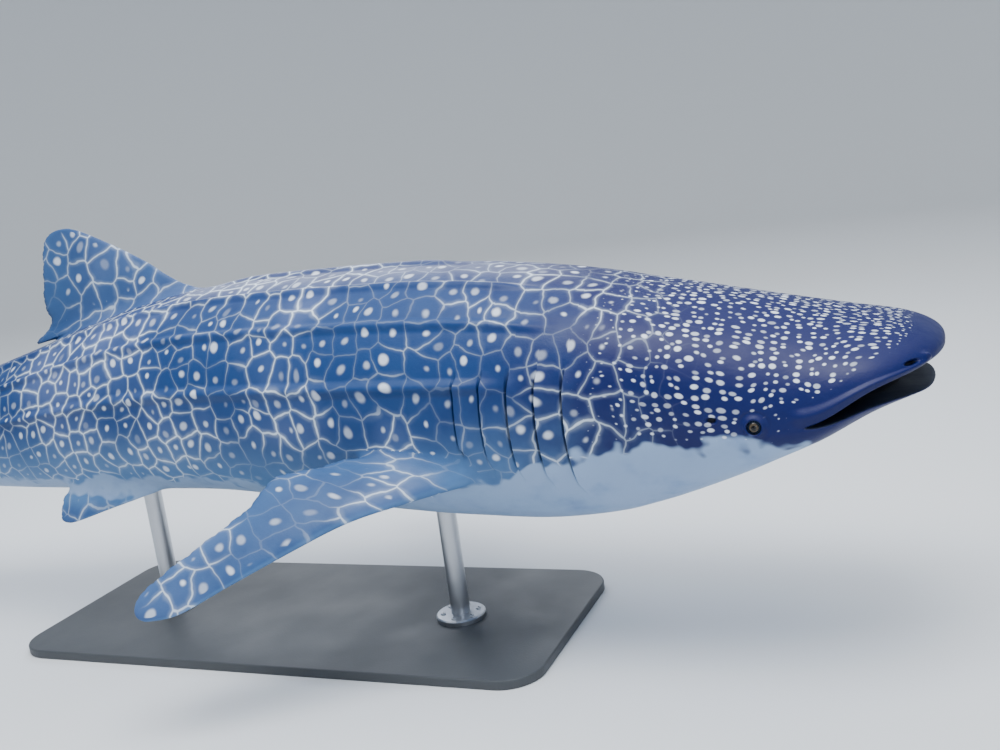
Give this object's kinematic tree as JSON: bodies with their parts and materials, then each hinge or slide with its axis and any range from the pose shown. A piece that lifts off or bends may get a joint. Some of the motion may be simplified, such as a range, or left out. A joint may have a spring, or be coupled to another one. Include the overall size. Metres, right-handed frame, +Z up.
{
  "type": "whale shark museum model on a display stand",
  "caption": "Life-size still whale shark with spread pectoral fins and a slightly swung tail, held over a flat base by two short rods.",
  "frame": {"origin": "centre of the underside of the stand's base", "axes": "+X towards the snout, +Y to the animal's left, +Z up"},
  "size_m": [6.8414, 2.2092, 2.095],
  "materials": {
    "spotted_back_skin": "slate-blue shark skin with pale spots and bars above, off-white below, satin",
    "fin_skin": "slate-blue fin skin with pale spots, satin",
    "eye": "wet dark eye with a round pupil",
    "stand_paint": "fine-textured charcoal powder coat",
    "stand_steel": "brushed stainless steel"
  },
  "bodies": {
    "root": {"head": "spotted_back_skin", "lower_jaw": "spotted_back_skin", "eye_right": "eye", "eye_left": "eye", "gills": "spotted_back_skin", "torso": "spotted_back_skin", "tail_base": "spotted_back_skin", "peduncle": "spotted_back_skin", "first_dorsal_fin": "fin_skin", "second_dorsal_fin": "fin_skin", "anal_fin": "fin_skin", "caudal_fin_upper": "fin_skin", "caudal_fin_lower": "fin_skin", "pectoral_fin_right": "fin_skin", "pectoral_fin_left": "fin_skin", "pelvic_fin_right": "fin_skin", "pelvic_fin_left": "fin_skin", "stand_base": "stand_paint", "stand_rod_front": "stand_steel", "stand_rod_rear": "stand_steel"}
  },
  "joints": []
}
